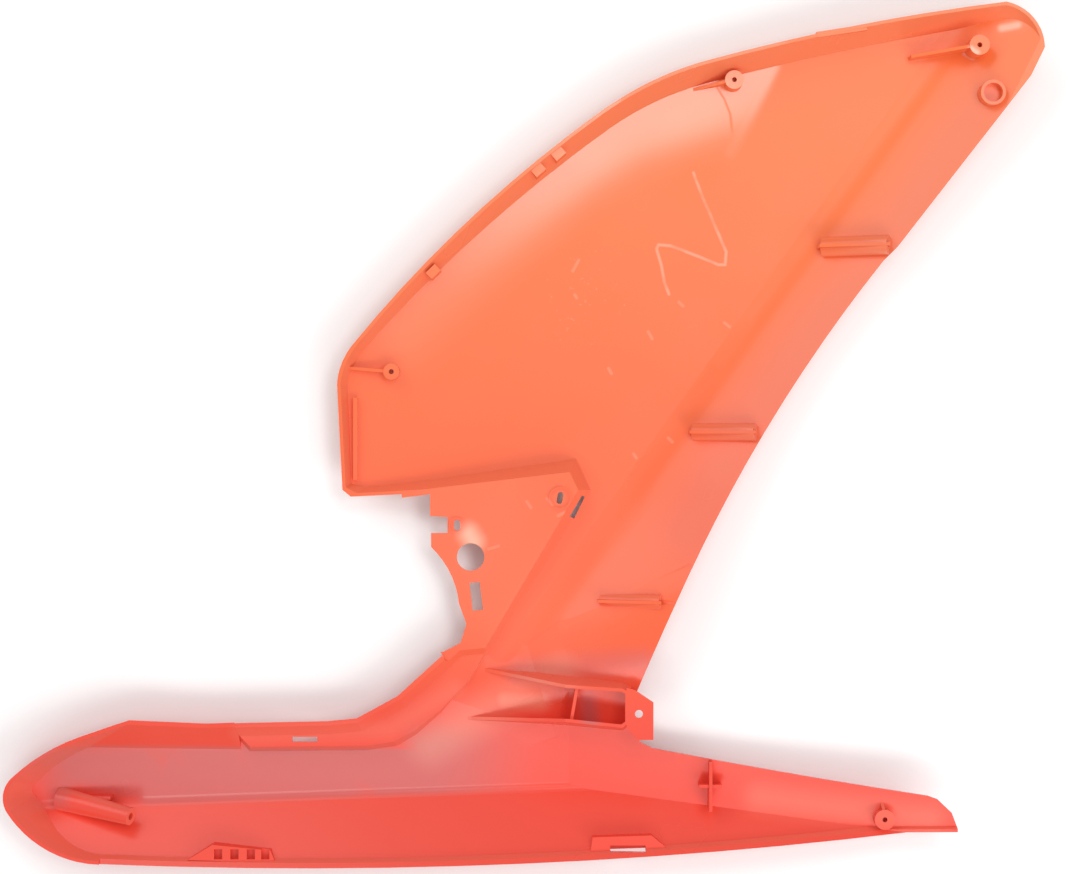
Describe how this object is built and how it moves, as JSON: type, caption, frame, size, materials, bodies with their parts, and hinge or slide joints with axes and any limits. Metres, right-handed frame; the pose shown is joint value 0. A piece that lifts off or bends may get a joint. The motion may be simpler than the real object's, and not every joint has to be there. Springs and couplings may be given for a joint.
{
  "type": "scooter front side panel",
  "caption": "Left front side panel for a scooter: a glossy moulded shell with a tall wing, a long V-shaped sill, a drilled web, a bracket and screw bosses on its inner side.",
  "frame": {"origin": "middle of the part's bounding box at the surface it lies on", "axes": "the panel lies on its outer face: +X points along the sill to its tail (forward on the scooter), +Y along the wing's height (up on the scooter), +Z out of the inner side, away from the surface it lies on"},
  "size_m": [0.8264, 0.6865, 0.048],
  "materials": {
    "red_plastic": "glossy"
  },
  "bodies": {
    "root": {"front_side_panel": "red_plastic"}
  },
  "joints": []
}
